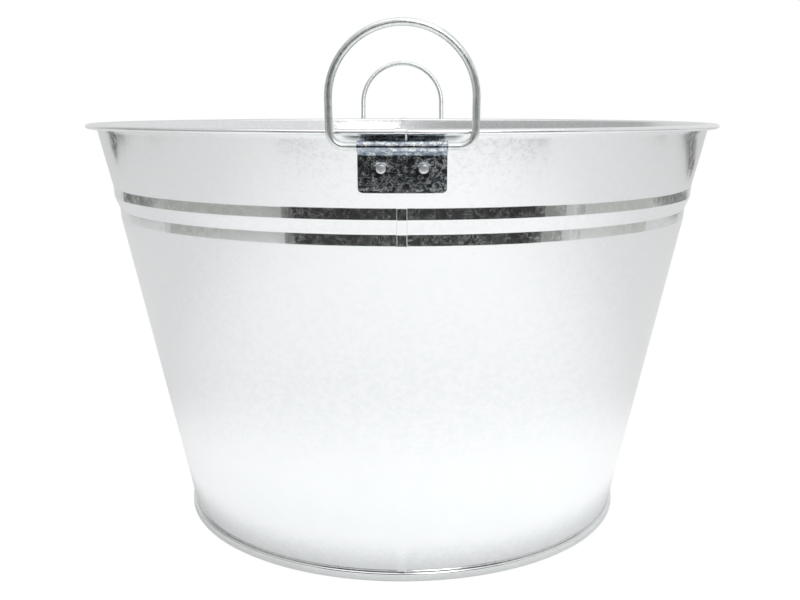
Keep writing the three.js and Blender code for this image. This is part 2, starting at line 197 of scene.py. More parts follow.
class ZincFinish(bpy.types.PropertyGroup):
    """Colours of the zinc."""

    sheet: colour("Sheet", "Bright zinc of the wall", (0.87, 0.885, 0.89))
    sheet_grey: colour("Sheet grey", "Darker crystals of the wall", (0.83, 0.85, 0.86))
    strap: colour("Strap", "Bright crystals of the bracket", (0.74, 0.77, 0.77))
    strap_grey: colour("Strap grey", "Dark crystals of the bracket", (0.28, 0.33, 0.40))
    wire: colour("Wire", "Bright zinc of the wire", (0.83, 0.86, 0.85))
    wire_grey: colour("Wire grey", "Dull zinc of the wire", (0.72, 0.76, 0.75))
    rivet: colour("Rivet", "Bright zinc of the rivets", (0.86, 0.88, 0.87))
    rivet_grey: colour("Rivet grey", "Dull zinc of the rivets", (0.66, 0.69, 0.69))
    # A dark dusty colour, also used as painted shade on the foot of the wall and the bottom ring,
    # next to the floor.
    dust_and_shade: colour("Dust", "Dull film in corners and smears", (0.55, 0.55, 0.52))


class StudioSettings(bpy.types.PropertyGroup):
    """Floor, light and camera."""

    floor: colour("Floor", "Pale floor", (0.90, 0.90, 0.90))
    floor_glow: amount("Floor glow", "Light given off by the floor", 0.37)
    sky: amount("Sky", "Strength of the light from above", 0.75)
    key: amount("Key", "Power of the overhead light, in watts", 6.5)
    window: amount("Window", "Power of the light over the camera, in watts", 2.4)
    front_distance: length("Front card distance", "From the bucket's axis", 0.68)
    card_distance: length("Side card distance", "From the bucket's axis", 0.85)
    card_top: length("Card top", "Height of the top of the cards", 0.37)
    camera_distance: length("Camera distance", "From the bucket's axis", 0.61322)
    camera_height: length("Camera height", "Above the floor", 0.25043)
    camera_pitch: angle("Camera pitch", "Downward", 11.398)
    camera_lens: amount("Camera lens", "Focal length in millimetres", 43.14)
    camera_shift: amount("Camera shift", "Sideways framing", -0.0029)


# ---- working by hand in edit mode ----


def start():
    """Leaves edit mode and deselects everything."""
    if bpy.context.object and bpy.context.object.mode != "OBJECT":
        bpy.ops.object.mode_set(mode="OBJECT")
    bpy.ops.object.select_all(action="DESELECT")


def take(piece):
    """Makes one object the only one selected."""
    start()
    piece.select_set(True)
    bpy.context.view_layer.objects.active = piece


def settle(piece):
    """Puts the place of an object into its mesh."""
    take(piece)
    bpy.ops.object.transform_apply(location=True, rotation=True, scale=True)


def named(name):
    """Names the new object and its mesh, with its place in its mesh, and opens it for editing."""
    piece = bpy.context.object
    piece.name = piece.data.name = name
    settle(piece)
    bpy.ops.object.mode_set(mode="EDIT")
    bpy.ops.mesh.select_mode(type="VERT")
    return piece


def pick(piece, kind, test):
    """Selects the corners, edges or faces whose every corner passes the test."""
    bpy.ops.mesh.select_mode(type=kind)
    bpy.ops.mesh.select_all(action="DESELECT")
    mesh = bmesh.from_edit_mesh(piece.data)
    parts = {"VERT": mesh.verts, "EDGE": mesh.edges, "FACE": mesh.faces}[kind]
    found = 0
    for part in parts:
        corners = [part.co] if kind == "VERT" else [corner.co for corner in part.verts]
        if all(test(co) for co in corners):
            part.select_set(True)
            found += 1
    mesh.select_flush_mode()
    bmesh.update_edit_mesh(piece.data)
    if not found:
        raise RuntimeError(f"{piece.name}: nothing there to select")


def extrude(x=0.0, y=0.0, z=0.0):
    """Extrudes the selection."""
    bpy.ops.mesh.extrude_region_move(TRANSFORM_OT_translate={"value": (x, y, z)})


def shift(x=0.0, y=0.0, z=0.0, **options):
    """Moves the selection."""
    bpy.ops.transform.translate(value=(x, y, z), **options)


def stretch(x, y, z, centre):
    """Scales the selection about a point."""
    bpy.ops.transform.resize(value=(x, y, z), center_override=centre)


def draw_line(name, points):
    """Draws an open line through the points, by extruding one corner from each to the next."""
    start()
    bpy.ops.mesh.primitive_plane_add(size=MM, location=points[0])
    piece = named(name)
    bpy.ops.mesh.select_all(action="SELECT")
    bpy.ops.mesh.merge(type="CENTER")
    for here, there in zip(points, points[1:]):
        extrude(*(there - here))
    bpy.ops.mesh.select_all(action="SELECT")
    return piece


def tidy_normals():
    """Merges what coincides and turns the faces outward."""
    bpy.ops.mesh.select_all(action="SELECT")
    bpy.ops.mesh.remove_doubles(threshold=0.002 * MM)
    bpy.ops.mesh.normals_make_consistent(inside=False)


def apply_modifier(piece, kind, **settings):
    """Adds a modifier and applies it."""
    take(piece)
    modifier = piece.modifiers.new(kind.title(), kind)
    for key, value in settings.items():
        setattr(modifier, key, value)
    bpy.ops.object.modifier_apply(modifier=modifier.name)


def thicken(piece, thickness):
    """Gives a sheet its thickness, half to each side."""
    apply_modifier(
        piece, "SOLIDIFY", thickness=thickness, offset=0.0, use_even_offset=True,
        use_quality_normals=True,
    )


def shade(piece, degrees=35):
    """Smooth shading that keeps the large faces true."""
    take(piece)
    bpy.ops.object.shade_smooth_by_angle(angle=math.radians(degrees))
    apply_modifier(piece, "WEIGHTED_NORMAL", keep_sharp=True, weight=60)


def duplicate(piece, name):
    """A copy with its own mesh."""
    twin = piece.copy()
    twin.data = piece.data.copy()
    twin.name = twin.data.name = name
    bpy.context.collection.objects.link(twin)
    return twin


def copy_of(piece, name, turn):
    """A copy turned about the bucket's axis."""
    start()
    twin = duplicate(piece, name)
    twin.rotation_euler = (0, 0, turn)
    settle(twin)
    return twin


def put(piece, place, turn):
    """Places a finished piece."""
    piece.location = place
    piece.rotation_euler = turn
    settle(piece)


def hand_over(piece, body, slot, material, *nodes):
    """Gives a piece its material, its body and the nodes that it stands for; the slot is not used.
    """
    piece.data.materials.clear()
    piece.data.materials.append(material)
    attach(piece, body)
    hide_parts(*nodes)


# ---- shared shapes ----


def band_heights(wall):
    """Heights of the bands: top and foot of the upper one, then of the lower one."""
    top = wall.rim_top - wall.band_drop
    foot = top - wall.upper_band
    lower_top = foot - wall.band_space
    return top, foot, lower_top, lower_top - wall.lower_band


def upper_radius(wall, z):
    """Outer radius of the plain wall above the bands."""
    middle = wall.rim_top - wall.roll_height / 2
    return wall.rim_radius - wall.roll_width - (middle - z) * wall.upper_flare


def lower_band_radius(wall):
    """Outer radius of the lower band at its top."""
    top = band_heights(wall)[0]
    return upper_radius(wall, top) - wall.band_draft - wall.band_step


def lower_radius(wall, z):
    """Outer radius of the plain wall below the bands."""
    low = PAN_BOX[1].z
    foot = band_heights(wall)[3]
    run = lower_band_radius(wall) - wall.band_draft - wall.base_radius
    return wall.base_radius + (z - low) * run / (foot - low)


def section(points):
    """Points (radius, height) as places on the front of the bucket."""
    return [Vector((0, -radius, z)) for radius, z in points]


# ---- materials ----


def place_node(tree, kind, inputs=None, **settings):
    """Adds a node, with numbers on its inputs or links to them."""
    made = tree.nodes.new(kind)
    for key, value in settings.items():
        setattr(made, key, value)
    for key, value in (inputs or {}).items():
        if isinstance(value, bpy.types.NodeSocket):
            tree.links.new(value, made.inputs[key])
        else:
            made.inputs[key].default_value = value
    return made


def maths(tree, operation, first, second=0.0, clamp=False):
    """A Math node's result."""
    made = place_node(
        tree, "ShaderNodeMath", {0: first, 1: second}, operation=operation, use_clamp=clamp
    )
    return made.outputs[0]


def spread(tree, value, low, high, to_low=0.0, to_high=1.0):
    """Maps a value from one range to another, smoothly and clamped."""
    made = place_node(
        tree, "ShaderNodeMapRange",
        {"Value": value, "From Min": low, "From Max": high, "To Min": to_low, "To Max": to_high},
        interpolation_type="SMOOTHSTEP",
    )
    return made.outputs["Result"]


def blend(tree, factor, first, second):
    """A mix of two colours."""
    made = place_node(tree, "ShaderNodeMix", {"Factor": factor}, data_type="RGBA")
    for socket, value in ((made.inputs[6], first), (made.inputs[7], second)):
        if isinstance(value, bpy.types.NodeSocket):
            tree.links.new(value, socket)
        else:
            socket.default_value = (*value, 1.0)
    return made.outputs[2]


def new_group(name, inputs, outputs):
    """A shader group with named sockets."""
    group = bpy.data.node_groups.new(name, "ShaderNodeTree")
    for socket, kind, default in inputs:
        made = group.interface.new_socket(socket, in_out="INPUT", socket_type=kind)
        if default is not None:
            made.default_value = default
    for socket in outputs:
        group.interface.new_socket(socket, in_out="OUTPUT", socket_type="NodeSocketFloat")
    return group, group.nodes.new("NodeGroupInput"), group.nodes.new("NodeGroupOutput")


def spangle_group():
    """Crystals of zinc: a tone for each crystal, a fine grain and a height."""
    group, given, result = new_group(
        "Zinc spangle",
        [("Vector", "NodeSocketVector", None), ("Crystals per metre", "NodeSocketFloat", 200.0),
         ("Warp", "NodeSocketFloat", 0.6)],
        ["Tone", "Grain", "Height"],
    )
    scaled = place_node(
        group, "ShaderNodeVectorMath",
        {0: given.outputs["Vector"], "Scale": given.outputs["Crystals per metre"]},
        operation="SCALE",
    ).outputs[0]
    wander = place_node(
        group, "ShaderNodeTexNoise", {"Vector": scaled, "Scale": 1.3, "Detail": 3.0}
    ).outputs["Color"]
    moved = place_node(
        group, "ShaderNodeVectorMath", {0: wander, "Scale": given.outputs["Warp"]},
        operation="SCALE",
    ).outputs[0]
    warped = place_node(
        group, "ShaderNodeVectorMath", {0: scaled, 1: moved}, operation="ADD"
    ).outputs[0]
    large = place_node(group, "ShaderNodeTexVoronoi", {"Vector": warped, "Scale": 1.0})
    small = place_node(group, "ShaderNodeTexVoronoi", {"Vector": warped, "Scale": 2.9})
    tone = [
        place_node(group, "ShaderNodeSeparateColor", {0: crystals.outputs["Color"]}).outputs[0]
        for crystals in (large, small)
    ]
    mixed = maths(
        group, "ADD", maths(group, "MULTIPLY", tone[0], 0.6), maths(group, "MULTIPLY", tone[1], 0.4)
    )
    grain = place_node(
        group, "ShaderNodeTexNoise",
        {"Vector": scaled, "Scale": 5.0, "Detail": 4.0, "Roughness": 0.6},
    ).outputs["Fac"]
    height = maths(group, "ADD", mixed, maths(group, "MULTIPLY", grain, 0.5))
    for name, value in (("Tone", mixed), ("Grain", grain), ("Height", height)):
        group.links.new(value, result.inputs[name])
    return group


def scratch_group():
    """Fine scratches in two directions, broken up into short lengths."""
    group, given, result = new_group(
        "Fine scratches",
        [("Vector", "NodeSocketVector", None), ("Scratches per metre", "NodeSocketFloat", 120.0),
         ("Amount", "NodeSocketFloat", 0.5)],
        ["Mask"],
    )
    scaled = place_node(
        group, "ShaderNodeVectorMath",
        {0: given.outputs["Vector"], "Scale": given.outputs["Scratches per metre"]},
        operation="SCALE",
    ).outputs[0]
    layers = []
    for turn, squeeze in (((0.5, 0.9, 0.3), (0.3, 1.0, 1.6)), ((1.1, -0.5, 0.8), (1.3, 0.3, 0.9))):
        turned = place_node(
            group, "ShaderNodeMapping", {"Vector": scaled, "Rotation": turn, "Scale": squeeze}
        ).outputs[0]
        bent = place_node(
            group, "ShaderNodeTexNoise", {"Vector": turned, "Scale": 0.7, "Detail": 1.0}
        ).outputs["Color"]
        curved = place_node(
            group, "ShaderNodeVectorMath", {0: turned, 1: bent}, operation="ADD"
        ).outputs[0]
        lines = place_node(
            group, "ShaderNodeTexVoronoi", {"Vector": curved, "Scale": 1.0},
            feature="DISTANCE_TO_EDGE",
        ).outputs["Distance"]
        breaks = place_node(
            group, "ShaderNodeTexNoise", {"Vector": turned, "Scale": 2.1, "Detail": 2.0}
        ).outputs["Fac"]
        line = spread(group, lines, 0.0, 0.022, 1.0, 0.0)
        layers.append(maths(group, "MULTIPLY", line, spread(group, breaks, 0.5, 0.58)))
    both = maths(group, "MAXIMUM", layers[0], layers[1])
    group.links.new(
        maths(group, "MULTIPLY", both, given.outputs["Amount"], clamp=True), result.inputs["Mask"]
    )
    return group


def film_group():
    """A dull dusty layer in soft smears, with painted shade: most of it at the height Low and
    below, none from High upward, so it darkens the foot of the bucket.
    """
    group, given, result = new_group(
        "Dull film",
        [("Vector", "NodeSocketVector", None), ("Smears per metre", "NodeSocketFloat", 18.0),
         ("Low", "NodeSocketFloat", 0.0), ("High", "NodeSocketFloat", 0.02)],
        ["Smear", "Foot shade and smears"],
    )
    tall = place_node(
        group, "ShaderNodeMapping", {"Vector": given.outputs["Vector"], "Scale": (1.0, 1.0, 0.3)}
    ).outputs[0]
    soft = place_node(
        group, "ShaderNodeTexNoise",
        {"Vector": tall, "Scale": given.outputs["Smears per metre"], "Detail": 5.0},
    ).outputs["Fac"]
    height = place_node(
        group, "ShaderNodeSeparateXYZ", {0: given.outputs["Vector"]}
    ).outputs["Z"]
    # Painted shade next to the floor: full at the height Low, none from High upward.
    painted_foot_shade = place_node(
        group, "ShaderNodeMapRange",
        {"Value": height, "From Min": given.outputs["Low"], "From Max": given.outputs["High"],
         "To Min": 1.0, "To Max": 0.0},
    ).outputs["Result"]
    group.links.new(spread(group, soft, 0.42, 0.7), result.inputs["Smear"])
    group.links.new(maths(group, "MULTIPLY", painted_foot_shade, soft), result.inputs["Foot shade and smears"])
    return group


def zinc(name, bright, grey, crystals, sheen, scratches, bump, film_and_shade=0.25, warp=0.6, smears=0.45):
    """A galvanised metal. Sheen is its lowest and highest roughness, smears their share of it."""
    made = bpy.data.materials.get(name)
    if made:
        return made
    groups = {
        key: bpy.data.node_groups.get(key) or make()
        for key, make in (("Zinc spangle", spangle_group), ("Fine scratches", scratch_group),
                          ("Dull film", film_group))
    }
    made = bpy.data.materials.new(name)
    made.use_nodes = True
    tree = made.node_tree
    shader = tree.nodes["Principled BSDF"]
    shader.inputs["Metallic"].default_value = 1.0
    place = place_node(tree, "ShaderNodeTexCoord").outputs["Object"]
    spangle = place_node(tree, "ShaderNodeGroup", node_tree=groups["Zinc spangle"])
    scratch = place_node(tree, "ShaderNodeGroup", node_tree=groups["Fine scratches"])
    smear_and_shade = place_node(tree, "ShaderNodeGroup", node_tree=groups["Dull film"])
    for user in (spangle, scratch, smear_and_shade):
        tree.links.new(place, user.inputs["Vector"])
    spangle.inputs["Crystals per metre"].default_value = crystals
    spangle.inputs["Warp"].default_value = warp
    scratch.inputs["Scratches per metre"].default_value = crystals * 0.8
    scratch.inputs["Amount"].default_value = scratches
    tone = spread(tree, spangle.outputs["Tone"], 0.25, 0.8)
    crystal = blend(tree, tone, grey, bright)
    # Painted shade and dusty smears: the dark colour is laid over the foot of the bucket by height.
    filmed_and_shaded = blend(
        tree, maths(tree, "MULTIPLY", smear_and_shade.outputs["Foot shade and smears"], film_and_shade, clamp=True),
        crystal, bpy.context.scene.bucket_finish.dust_and_shade,
    )
    cut = blend(tree, maths(tree, "MULTIPLY", scratch.outputs["Mask"], 0.6), filmed_and_shaded, bright)
    tree.links.new(cut, shader.inputs["Base Color"])
    dull = maths(
        tree, "ADD", maths(tree, "MULTIPLY", tone, 1.0 - smears),
        maths(tree, "MULTIPLY", smear_and_shade.outputs["Smear"], smears),
    )
    speck = maths(tree, "MULTIPLY", dull, spread(tree, spangle.outputs["Grain"], 0.35, 0.65))
    rough = spread(tree, speck, 0.0, 0.9, sheen[0], sheen[1])
    tree.links.new(
        maths(tree, "ADD", rough, maths(tree, "MULTIPLY", scratch.outputs["Mask"], 0.12)),
        shader.inputs["Roughness"],
    )
    height = maths(
        tree, "SUBTRACT", spangle.outputs["Height"],
        maths(tree, "MULTIPLY", scratch.outputs["Mask"], 1.5),
    )
    relief = place_node(
        tree, "ShaderNodeBump", {"Height": height, "Strength": bump, "Distance": 0.1 * MM}
    )
    tree.links.new(relief.outputs["Normal"], shader.inputs["Normal"])
    return made


def wall_zinc(finish):
    """Bright sheet of the wall and the bottom."""
    # Its default share of the dark dusty layer paints shade on the foot of the wall and the bottom
    # ring.
    return zinc(
        "Zinc sheet", finish.sheet, finish.sheet_grey, 520.0, (0.12, 0.27), 0.4, 0.03,
        smears=0.15,
    )


# ---- operators ----


class BUCKET_OT_wall(bpy.types.Operator):
    """Build the two wall halves, with their bands, rolled rim and lock seams"""

    bl_idname = "bucket.wall"
    bl_label = "Wall halves"

    def execute(self, context):
        wall = context.scene.bucket_wall
        half = wall.sheet / 2
        top, foot, lower_top, lower_foot = band_heights(wall)
        upper = upper_radius(wall, top) - half
        lower = lower_band_radius(wall) - half
        toe = wall.sheet + 2 * half
        toe_radius = lower_radius(wall, toe) - half
        line = [
            (toe_radius + wall.toe_reach, toe),
            (toe_radius, toe),
            (lower_radius(wall, wall.fold_foot) - half, wall.fold_foot),
            (lower - wall.band_draft, lower_foot),
            (lower, lower_top),
            (upper - wall.band_draft, foot),
            (upper, top),
            (upper_radius(wall, wall.fold_top) - half, wall.fold_top),
        ]
        centre = wall.rim_radius - wall.roll_width / 2
        middle = wall.rim_top - wall.roll_height / 2
        across = wall.roll_width / 2 - half
        high = wall.roll_height / 2 - half
        for step in range(ROLL_STEPS + 1):
            turn = math.pi + (wall.roll_end - math.pi) * step / ROLL_STEPS
            line.append((centre + across * math.cos(turn), middle + high * math.sin(turn)))
        piece = draw_line("wall_right", section(line))
        bpy.ops.mesh.spin(
            steps=wall.columns, angle=math.pi, center=(0, 0, 0), axis=(0, 0, -1)
        )
        tidy_normals()
        near = 0.01 * MM
        front = lambda co: abs(co.x) < near and co.y < 0
        back = lambda co: abs(co.x) < near and co.y > 0
        low, high_end = wall.fold_foot - near, wall.fold_top + near
        in_fold = lambda co: low < co.z < high_end

        # the folded edge that goes over, at the front
        under = wall.fold_right - 1.6 * wall.sheet
        pick(piece, "VERT", front)
        shift(x=wall.fold_right)
        over = lambda co: abs(co.x - wall.fold_right) < near and co.y < 0
        pick(piece, "EDGE", lambda co: over(co) and in_fold(co))
        extrude(y=-3 * wall.fold_layer)
        extrude(x=-(wall.fold_right + wall.fold_left))
        extrude(y=2 * wall.fold_layer)
        extrude(x=wall.hook)

        # the rolled rim laps over its neighbour
        pick(piece, "EDGE", lambda co: over(co) and co.z > middle - near)
        extrude(x=-LAP_START)
        stretch(
            1, 1 + wall.lap_lift / across, 1 + wall.lap_lift / high, (0, -centre, middle)
        )
        extrude(x=-(wall.fold_right + wall.lap_reach - LAP_START))

        # the folded edge that goes under, at the back
        pick(piece, "VERT", back)
        shift(x=-under)
        beneath = lambda co: abs(co.x + under) < near and co.y > 0
        pick(piece, "EDGE", lambda co: beneath(co) and in_fold(co))
        extrude(y=2 * wall.fold_layer)
        extrude(x=wall.hook)

        # bends above and below each band
        levels = (top, foot, lower_top, lower_foot)
        pick(
            piece, "EDGE",
            lambda co: any(abs(co.z - level) < near for level in levels),
        )
        bpy.ops.mesh.bevel(offset=wall.crease, segments=3, affect="EDGES", clamp_overlap=True)
        tidy_normals()
        thicken(piece, wall.sheet)
        shade(piece)
        other = copy_of(piece, "wall_left", math.pi)
        metal = wall_zinc(context.scene.bucket_finish)
        hand_over(piece, "bucket", "zinc_wall", metal, "wall_panel_right")
        hand_over(other, "bucket", "zinc_wall", metal, "wall_panel_left")
        return {"FINISHED"}


class BUCKET_OT_bottom(bpy.types.Operator):
    """Build the bottom, whose edge is folded up round the foot of the wall"""

    bl_idname = "bucket.bottom"
    bl_label = "Bottom"

    def execute(self, context):
        wall = context.scene.bucket_wall
        pan = context.scene.bucket_bottom
        half = wall.sheet / 2
        leg = lambda z: lower_radius(wall, z) - wall.sheet - pan.clearance - half
        lip = lower_radius(wall, pan.ring_height) + pan.clearance
        ring = pan.ring_radius - half
        line = [
            (0, pan.plate_lift + half),
            (leg(pan.plate_lift) - 12 * MM, pan.plate_lift + half),
            (leg(pan.plate_lift), pan.plate_lift + half),
            (leg(0), half),
            (ring, half),
            (ring, pan.ring_height - half),
            (lip, pan.ring_height - half),
        ]
        piece = draw_line("bottom", section(line))
        bpy.ops.mesh.spin(
            steps=pan.columns, angle=2 * math.pi, center=(0, 0, 0), axis=(0, 0, 1)
        )
        tidy_normals()
        near = 0.05 * MM
        at = lambda co, radius, z: (
            abs(math.hypot(co.x, co.y) - radius) < near and abs(co.z - z) < near
        )
        pick(piece, "EDGE", lambda co: at(co, ring, half))
        bpy.ops.mesh.bevel(offset=pan.bead, segments=4, affect="EDGES")
        pick(piece, "EDGE", lambda co: at(co, ring, pan.ring_height - half))
        bpy.ops.mesh.bevel(offset=pan.bead, segments=4, affect="EDGES")
        tidy_normals()
        thicken(piece, wall.sheet)
        shade(piece)
        metal = wall_zinc(context.scene.bucket_finish)
        hand_over(piece, "bucket", "zinc_wall", metal, "bottom_pan")
        return {"FINISHED"}


class BUCKET_OT_brackets(bpy.types.Operator):
    """Build the two brackets, each a strap folded round the handle's bar"""

    bl_idname = "bucket.brackets"
    bl_label = "Brackets"

    def execute(self, context):
        wall = context.scene.bucket_wall
        size = context.scene.bucket_bracket
        finish = context.scene.bucket_finish
        hinge_radius, hinge_height = -HINGE.y, HINGE.z
        plate_top = hinge_height - size.bend_drop
        tuck_top = hinge_height - size.tuck_drop
        bends = [i / CORNER_STEPS * math.pi / 2 for i in range(CORNER_STEPS + 1)]
        rows = [size.foot + size.corner * (1 - math.sin(bend)) for bend in bends]
        widths = [1 - 2 * size.corner * (1 - math.cos(bend)) / size.width for bend in bends]
        rows, widths = rows[::-1], widths[::-1]
        z = rows[-1] + PLATE_ROW
        while z < tuck_top - 2.2 * PLATE_ROW:
            rows.append(z)
            z += PLATE_ROW
        rows += [tuck_top - 2 * PLATE_ROW, tuck_top - PLATE_ROW, tuck_top]
        back = [(plate_radius(wall, size, hinge_height, z), z) for z in rows]
        back.append((plate_radius(wall, size, hinge_height, plate_top), plate_top))
        sleeve = []
        for i in range(SLEEVE_STEPS + 1):
            turn = math.radians(SLEEVE_FROM + (SLEEVE_TO - SLEEVE_FROM) * i / SLEEVE_STEPS)
            sleeve.append((
                hinge_radius + size.sleeve * math.cos(turn),
                hinge_height + size.sleeve * math.sin(turn),
            ))
        face = [
            (plate_radius(wall, size, hinge_height, z) + size.pitch, z) for z in reversed(rows)
        ]
        points = [
            Vector((-size.width / 2, -radius, z)) for radius, z in back + sleeve + face
        ]
        piece = draw_line("bracket_front_strap", points)
        stride = size.width / size.columns
        for _ in range(size.columns):
            extrude(x=stride)
        tidy_normals()
        near = 0.02 * MM
        plate_limit = tuck_top + near

        # rounded lower corners
        for row, share in zip(rows, widths):
            if share < 1:
                pick(piece, "VERT", lambda co, row=row: abs(co.z - row) < near)
                stretch(share, 1, 1, (0, 0, 0))

        # the plates are bowed to the round of the wall
        for column in range(size.columns // 2 + 1):
            x = column * stride
            sag = hinge_radius - math.sqrt(hinge_radius**2 - x**2)
            if sag > 0:
                pick(
                    piece, "VERT",
                    lambda co, x=x: abs(abs(co.x) - x) < stride / 2 and co.z < plate_limit,
                )
                shift(y=sag)

        # a dimple round each rivet, in both plates
        rivet = (RIVET_BOX[0] + RIVET_BOX[1]) / 2
        for side in (-1, 1):
            pick(
                piece, "VERT",
                lambda co, side=side: math.hypot(co.x - side * rivet.x, co.z - rivet_height(size))
                < DIMPLE_CORE,
            )
            shift(
                y=size.dimple, use_proportional_edit=True, proportional_size=size.dimple_reach,
                proportional_edit_falloff="SMOOTH", use_proportional_connected=True,
            )
        tidy_normals()
        thicken(piece, size.strap)
        apply_modifier(
            piece, "BEVEL", width=STRAP_EDGE, segments=2, limit_method="ANGLE",
            angle_limit=math.radians(50),
        )
        shade(piece)
        other = copy_of(piece, "bracket_back_strap", math.pi)
        metal = zinc(
            "Zinc strap", finish.strap, finish.strap_grey, 620.0, (0.06, 0.5), 0.6, 0.12,
            film_and_shade=0.1, warp=1.4, smears=0.5,
        )
        hand_over(piece, "bucket", "zinc_strap", metal, "bracket_front")
        hand_over(other, "bucket", "zinc_strap", metal, "bracket_back")
        return {"FINISHED"}


def plate_radius(wall, size, hinge_height, z):
    """Distance from the bucket's axis of the middle of the back plate."""
    plate_top = hinge_height - size.bend_drop
    top = upper_radius(wall, plate_top) + size.stand_off + size.strap / 2
    return top + (z - plate_top) * math.tan(size.tilt)


def rivet_height(size):
    """Height at which the rivets go through the front plate."""
    return HINGE.z - size.rivet_drop


class BUCKET_OT_rivets(bpy.types.Operator):
    """Build the four rivets through the brackets and the wall"""

    bl_idname = "bucket.rivets"
    bl_label = "Rivets"

    def execute(self, context):
        wall = context.scene.bucket_wall
        strap = context.scene.bucket_bracket
        size = context.scene.bucket_rivet
        finish = context.scene.bucket_finish
        z = rivet_height(strap)
        x = (RIVET_BOX[0].x + RIVET_BOX[1].x) / 2
        sag = -HINGE.y - math.sqrt(HINGE.y**2 - x**2)
        seat = (
            plate_radius(wall, strap, HINGE.z, z) + strap.pitch + strap.strap / 2
            - sag - strap.dimple
        )
        inner = math.sqrt((upper_radius(wall, z) - wall.sheet) ** 2 - x**2)
        grip = (seat - inner) / math.cos(strap.tilt)
        head, shank = size.head / 2, size.shank / 2
        start()
        bpy.ops.mesh.primitive_cylinder_add(
            vertices=size.sides, radius=head, depth=size.dome, end_fill_type="NGON",
            location=(0, 0, size.dome / 2),
        )
        piece = named("rivet_model")
        near = 0.01 * MM
        pick(piece, "FACE", lambda co: co.z > size.dome - near)
        bpy.ops.mesh.bevel(
            offset=size.dome * DOME_ROUNDING, segments=6, affect="EDGES", profile=0.5
        )
        pick(piece, "FACE", lambda co: co.z < near)
        bpy.ops.mesh.inset(thickness=head - shank)
        extrude(z=-grip)
        extrude(z=-TAIL_SKIN)
        stretch(head / shank, head / shank, 1, (0, 0, 0))
        extrude(z=-size.tail)
        stretch(0.9, 0.9, 1, (0, 0, 0))
        tidy_normals()
        start()
        metal = zinc(
            "Zinc rivet", finish.rivet, finish.rivet_grey, 700.0, (0.36, 0.5), 0.3, 0.05, film_and_shade=0.1
        )
        for end, turn in (("front", 0.0), ("back", math.pi)):
            for side, sign in (("left", -1), ("right", 1)):
                twin = duplicate(piece, f"rivet_{end}_{side}_stud")
                place = Vector((sign * x, -seat, z))
                place.x, place.y = (
                    place.x * math.cos(turn) - place.y * math.sin(turn),
                    place.x * math.sin(turn) + place.y * math.cos(turn),
                )
                put(twin, place, (math.pi / 2 + strap.tilt, 0, turn))
                shade(twin)
                hand_over(twin, "bucket", "zinc_rivet", metal, f"rivet_{end}_{side}")
        bpy.data.objects.remove(piece)
        return {"FINISHED"}


class BUCKET_OT_handles(bpy.types.Operator):
    """Build the two ring handles, each one bent wire"""

    bl_idname = "bucket.handles"
    bl_label = "Ring handles"

    def execute(self, context):
        size = context.scene.bucket_handle
        finish = context.scene.bucket_finish
        half = size.width / 2
        flat = half - size.corner
        crown = size.height - half
        start()
        bpy.ops.mesh.primitive_circle_add(
            vertices=size.sides, radius=size.wire / 2, fill_type="NGON",
            location=(size.butt / 2, 0, 0), rotation=(0, math.pi / 2, 0),
        )
        piece = named("ring_model")
        bpy.ops.mesh.select_all(action="SELECT")

        def bend(steps, turn, x, z):
            bpy.ops.mesh.spin(steps=steps, angle=turn, center=(x, 0, z), axis=(0, 1, 0))

        half_bar = (flat - size.butt / 2) / 2
        half_leg = (crown - size.corner) / 2
        extrude(x=half_bar)
        extrude(x=half_bar)
        bend(10, math.pi / 2, flat, size.corner)
        extrude(z=half_leg)
        extrude(z=half_leg)
        bend(56, math.pi, 0, crown)
        extrude(z=-half_leg)
        extrude(z=-half_leg)
        bend(10, math.pi / 2, -flat, size.corner)
        extrude(x=half_bar)
        extrude(x=half_bar)
        tidy_normals()
        start()
        metal = zinc(
            "Zinc wire", finish.wire, finish.wire_grey, 320.0, (0.34, 0.46), 0.3, 0.03,
            film_and_shade=0.1, warp=1.2,
        )
        for end, turn, side in (("front", 0.0, 1), ("back", math.pi, -1)):
            twin = duplicate(piece, f"ring_{end}")
            put(twin, (0, side * HINGE.y, HINGE.z), (size.lean, 0, turn))
            shade(twin, WIRE_FACETS)
            hand_over(twin, f"{end}_handle", "zinc_wire", metal, f"ring_handle_{end}")
        bpy.data.objects.remove(piece)
        return {"FINISHED"}


def plain_material(name, tint):
    """A plain dull material of the studio."""
    made = bpy.data.materials.new(name)
    made.use_nodes = True
    shader = made.node_tree.nodes["Principled BSDF"]
    shader.inputs["Base Color"].default_value = (*tint, 1.0)
    shader.inputs["Roughness"].default_value = 0.9
    shader.inputs["Specular IOR Level"].default_value = 0.1
    shader.inputs["Emission Color"].default_value = WHITE
    return made


